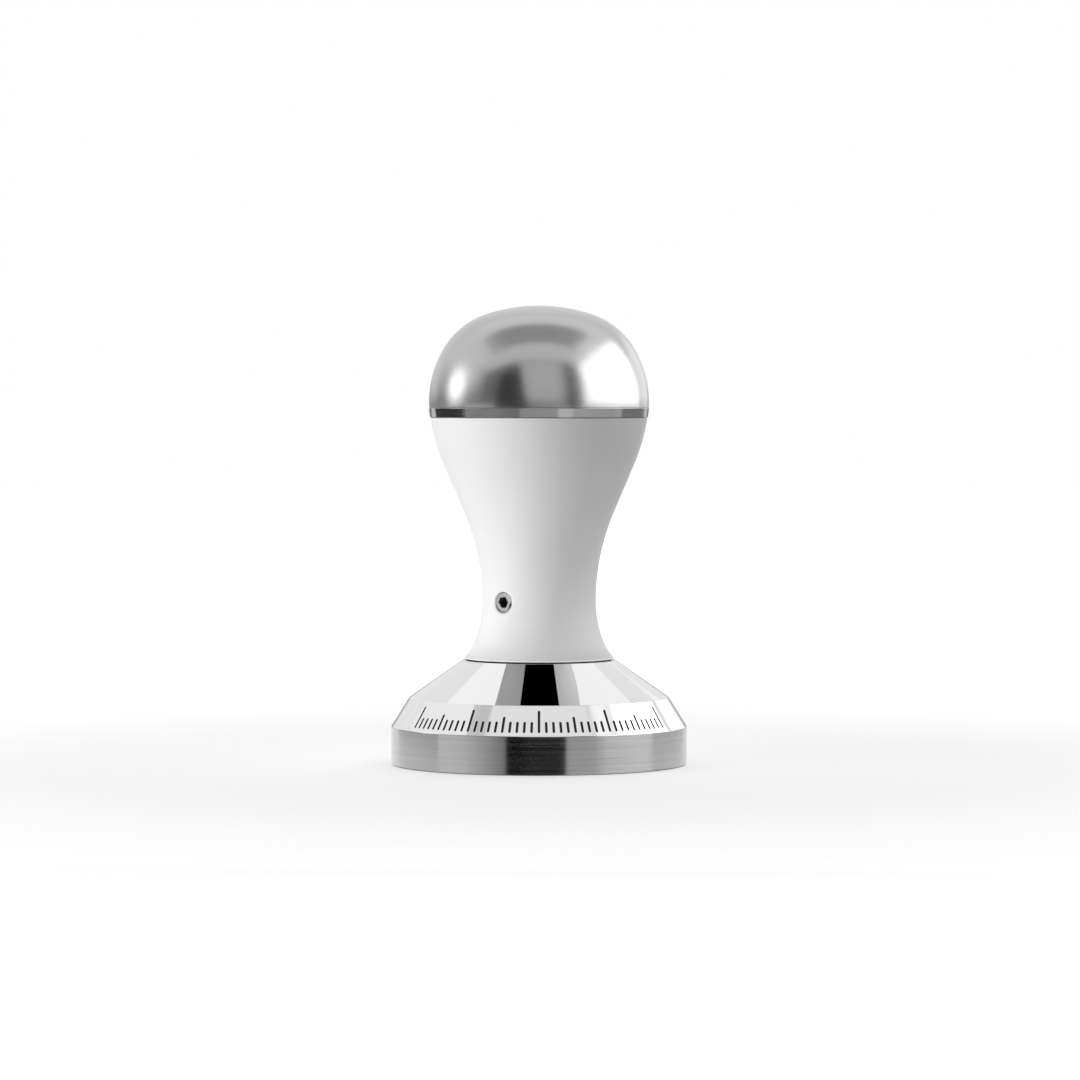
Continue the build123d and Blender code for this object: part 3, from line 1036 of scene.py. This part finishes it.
def emission_material(name, strength, soft=0.0, opacity=1.0, far_strength=None):
    """A glow that may grade along the card's width, or fade to clear over this share at each edge."""
    s = Shader(name)
    out = s.nodes["Material Output"]
    glow = s.add("ShaderNodeEmission")
    s.nodes.remove(s.surface)
    across = s.add("ShaderNodeSeparateXYZ")
    s.wire(s.add("ShaderNodeTexCoord").outputs["Generated"], across.inputs[0])
    if far_strength is None:
        glow.inputs["Strength"].default_value = strength
    else:
        s.wire(s.ramp(across.outputs[0], 0, 1, strength, far_strength), glow.inputs["Strength"])
    if not soft and opacity == 1.0:
        s.wire(glow.outputs[0], out.inputs["Surface"])
        return s.material
    mix = s.add("ShaderNodeMixShader")
    mix.inputs[0].default_value = opacity
    if soft:
        fades = []
        for share in across.outputs[:2]:
            from_edge = s.math("MINIMUM", share, s.math("SUBTRACT", 1.0, share))
            fades.append(s.ramp(from_edge, 0, soft, 0, 1))
        s.wire(s.math("MULTIPLY", s.math("MULTIPLY", *fades), opacity), mix.inputs[0])
    s.wire(s.add("ShaderNodeBsdfTransparent").outputs[0], mix.inputs[1])
    s.wire(glow.outputs[0], mix.inputs[2])
    s.wire(mix.outputs[0], out.inputs["Surface"])
    return s.material


def hide_card(card, diffuse, glossy):
    """Cards light and reflect, but the camera never sees them and they cast no shadow."""
    card.visible_camera = False
    card.visible_diffuse = diffuse
    card.visible_glossy = glossy
    card.visible_shadow = False


def screen(name, places, strength, opacity=1.0):
    """A dark sheet through these places that only reflections see."""
    thing = sheet(name, places, emission_material(name, strength, opacity=opacity))
    hide_card(thing, diffuse=False, glossy=True)


def emission_card(
    name, centre, look_at, width, height, strength, diffuse=True, glossy=True, soft=0.12, far_strength=None
):
    """A glowing flat card, facing look_at.  Strength 0 makes a black flag."""
    material = emission_material(name, strength, soft, far_strength=far_strength)
    card = sheet(name, rectangle(width, height), material)
    card.location = centre
    facing = Vector(look_at) - Vector(centre)
    card.rotation_mode = "QUATERNION"
    card.rotation_quaternion = facing.to_track_quat("Z", "Y")
    hide_card(card, diffuse, glossy)
    return card


object_middle = Vector((0, 0, 0.045))
dome_middle = Vector((0, 0, 0.070))


def around(azimuth, elevation, distance, centre=object_middle):
    """A point at this bearing: azimuth 0 is the front, 90 the right, 180 behind.  The distance is level."""
    a = math.radians(azimuth)
    rise = math.tan(math.radians(elevation))
    return centre + Vector((math.sin(a), -math.cos(a), rise)) * distance


def upright_card(name, azimuth, low, high, width, strength, distance=1.0, **seen_by):
    """An upright card at this bearing whose edges stand at these two elevations, in degrees."""
    bottom = around(azimuth, low, distance)
    top = around(azimuth, high, distance)
    centre = (bottom + top) / 2
    level = Vector((object_middle.x, object_middle.y, centre.z))
    emission_card(name, centre, level, width, top.z - bottom.z, strength, **seen_by)


def overhead_card(name, left, right, near, far, strength, height=1.0, **seen_by):
    """A level card above the object; its sides are given as distances per metre of height."""
    centre = Vector(((left + right) / 2 * height, (near + far) / 2 * height, object_middle.z + height))
    width = (right - left) * height
    card = emission_card(name, centre, object_middle, width, (far - near) * height, strength, **seen_by)

    # Level, with its own X to the right, so that a graded strength starts at its left side.
    card.rotation_mode = "XYZ"
    card.rotation_euler = (math.pi, 0, 0)


def dark_stand(name, corners, strength, distance=0.3):
    """A dark screen near the dome, through four (azimuth, elevation) bearings taken from the dome."""
    screen(name, [around(*corner, distance, dome_middle) for corner in corners], strength)


# Light on the matt handle: a strong broad key from the left, and a little from the front and the right.
# The numbers of an upright card are its bearing, the elevations of its edges, its width and its strength.
upright_card("key_soft", -64, -38, 30, 0.9, 3.75, glossy=False)
upright_card("lift_front", 10, -34, 26, 0.8, 0.30, glossy=False)
upright_card("lift_right", 98, -40, 26, 1.1, 0.8, glossy=False)

# Light thrown up at the handle by the table and by the polished cone.
emission_card("table_bounce", (0, 0, -0.0005), (0, 0, 1), 0.22, 0.22, 0.5, glossy=False, soft=0.3)
emission_card("cone_bounce", (0, 0, 0.0210), (0, 0, 1), 0.052, 0.052, 1.3, glossy=False, soft=0.1)

# What the dome and the polished slopes reflect.
upright_card("left_key", -98, -5, 29, 0.62, 4.0, diffuse=False, soft=0.5)
upright_card("left_wall", -104, -3, 62, 2.3, 0.95, distance=1.15, diffuse=False, soft=0.25)
upright_card("front_wall", 0, -3, 47, 1.5, 0.70, distance=1.3, diffuse=False)
upright_card("right_panel", 89, -6, 46, 1.96, 2.4, diffuse=False, soft=0.12)
upright_card("right_glow", 90, 40, 66, 1.9, 1.1, distance=1.05, diffuse=False, soft=0.3)
upright_card("right_back", 146, -4, 26, 0.6, 1.3, distance=1.1, diffuse=False, soft=0.2)
upright_card("back_wall", 180, -2, 50, 2.8, 0.88, distance=1.2)
dark_stand("dark_stand_left", ((-45, -9), (-10, -9), (-22, 39), (-42, 27)), 0.05)
dark_stand("dark_stand_right", ((29, -9), (43, -9), (40, 39), (31, 39)), 0.05)
overhead_card("overhead_band", -0.66, 0.70, -0.42, 0.30, 0.43, height=1.4, diffuse=False)
overhead_card(
    "overhead_band_left", -1.2, -0.5, -0.42, 0.30, 0.85, height=1.42, diffuse=False, far_strength=0.45
)
overhead_card("overhead_sides", -2.2, 2.2, -0.42, 0.30, 0.85, height=1.7, diffuse=False)
overhead_card("overhead_back", -1.4, 1.4, 0.27, 1.3, 1.03, height=1.3, soft=0.06)
overhead_card("overhead_front", -1.7, 1.7, -0.95, -0.36, 0.86, height=1.5, diffuse=False, soft=0.1)


def reflection_band(name, low, high, knots, distance=1.5, widest_span=30):
    """A wall of upright cards between two elevations.  Knots are (azimuth, strength); two at one azimuth
    make a step, and between the others the strength grades.  A card's own X runs against the azimuth."""
    for (start, start_strength), (end, end_strength) in zip(knots, knots[1:]):
        if end == start:
            continue
        count = math.ceil((end - start) / widest_span)
        span = (end - start) / count
        width = 2 * distance * math.tan(math.radians(span / 2))
        growth = (end_strength - start_strength) / count
        for part in range(count):
            azimuth = start + span * (part + 0.5)
            here = start_strength + growth * part
            upright_card(
                f"{name}_{azimuth:.0f}", azimuth, low, high, width, here + growth, distance,
                diffuse=False, soft=0, far_strength=here,
            )


# The upright rim looks just below the horizon, and the flared ring looks further down.
reflection_band("rim_band", -10, -2.2, (
    (-180, 0.94), (-99, 0.85), (-61, 0.76), (-40, 0.48), (-24, 0.22), (19, 0.38), (37, 0.47), (80, 0.73),
    (180, 0.85),
))
reflection_band("ring_band", -26, -10, (
    (-88, 0.42), (-50, 0.47), (-32, 0.36), (-20, 0.36), (-20, 0.58), (20, 0.62), (20, 1.0), (36, 1.0),
    (36, 0.76), (98, 0.62),
))
reflection_band("ring_side_left", -8, -1.5, ((-138, 0.09), (-82, 0.07)), distance=0.5)
reflection_band("ring_side_right", -8, -1.5, ((96, 0.36), (150, 0.32)), distance=0.5)
reflection_band("rim_flag", -28, -10.5, ((-23.8, 0.0), (19.4, 0.0)), distance=0.2, widest_span=45)

# Two level flags in front of the waist, which only reflections see: the polished cone mirrors the black one
# as its dark core, and the half-clear one beside it as the grey on the core's left.
flag_height = 27.0
flag_margin = 1.5           # the flags reach this much past the foot of the cone
sight_fall = 0.03           # how far the camera's sight line falls, per unit forward


def mirrored(azimuth, radius):
    """Where a nearly level sight line from the front, mirrored by the cone here, reaches the flags."""
    a = math.radians(azimuth)
    tilt = math.atan2(base_top - bevel_top.y, bevel_top.x - land_radius)
    normal = Vector((math.sin(tilt) * math.sin(a), -math.sin(tilt) * math.cos(a), math.cos(tilt)))
    start_height = bevel_top.y + (bevel_top.x - radius) * math.tan(tilt)
    start = Vector((radius * math.sin(a), -radius * math.cos(a), start_height))
    way = Vector((0, 1, -sight_fall)).reflect(normal)
    return start + way * (flag_height - start_height) / way.z


def waist_flag(name, top_azimuths, foot_azimuths, opacity):
    """A flag mirrored between these azimuths at the top and at the foot of the cone, in degrees."""
    corners = [mirrored(azimuth, land_radius + edge) for azimuth in top_azimuths]
    corners += [mirrored(azimuth, bevel_top.x + flag_margin) for azimuth in reversed(foot_azimuths)]
    screen(name, [corner * MM for corner in corners], 0.0, opacity)


waist_flag("waist_flag", (-10.0, 10.8), (-8.0, 8.6), 1.0)
waist_flag("waist_shade", (-24.8, -10.0), (-19, -8.0), 0.60)

# The camera sees a white world, and everything else a dim one.
dim_world = 0.20
white_world = 1.0
world = bpy.data.worlds.new("studio")
scene.world = world
world.use_nodes = True
background = world.node_tree.nodes["Background"]
background.inputs["Color"].default_value = (1, 1, 1, 1)
light_path = world.node_tree.nodes.new("ShaderNodeLightPath")
level = world.node_tree.nodes.new("ShaderNodeMapRange")
world.node_tree.links.new(light_path.outputs["Is Camera Ray"], level.inputs["Value"])
level.inputs["To Min"].default_value = dim_world
level.inputs["To Max"].default_value = white_world
world.node_tree.links.new(level.outputs[0], background.inputs["Strength"])

floor_width = 6.0
floor_drop = 0.02 * MM      # keeps the floor clear of the tamping face
glow_start = 0.10           # the floor's glow grows between these distances from the object, up to white
glow_end = 0.55


def floor():
    s = Shader("pale_floor")
    s.constant(Base_Color=grey(0.62), Roughness=0.8, Emission_Color=grey(1.0))
    _, (x, y, _) = s.place()
    s.wire(s.ramp(s.length(x, y), glow_start, glow_end, 0.50, 1.0), s.surface.inputs["Emission Strength"])
    plane = sheet("floor", rectangle(floor_width, floor_width), s.material)
    plane.location.z = cad_low.z - floor_drop
    plane.visible_diffuse = False
    plane.visible_glossy = False
    plane.visible_shadow = False


floor()


# ---- Camera: level with the lower dome, looking a little down ----
camera_distance = 0.860
camera_height = 0.0705
target = Vector((0.0002, 0, 0.0443))

camera_data = bpy.data.cameras.new("camera")
camera_data.lens = 145
camera_data.sensor_width = 36
camera_data.clip_start = 0.01
camera = bpy.data.objects.new("camera", camera_data)
scene.collection.objects.link(camera)
camera.location = (0, -camera_distance, camera_height)
camera.rotation_mode = "QUATERNION"
camera.rotation_quaternion = (target - camera.location).to_track_quat("-Z", "Y")
scene.camera = camera
scene.view_settings.view_transform = "Standard"
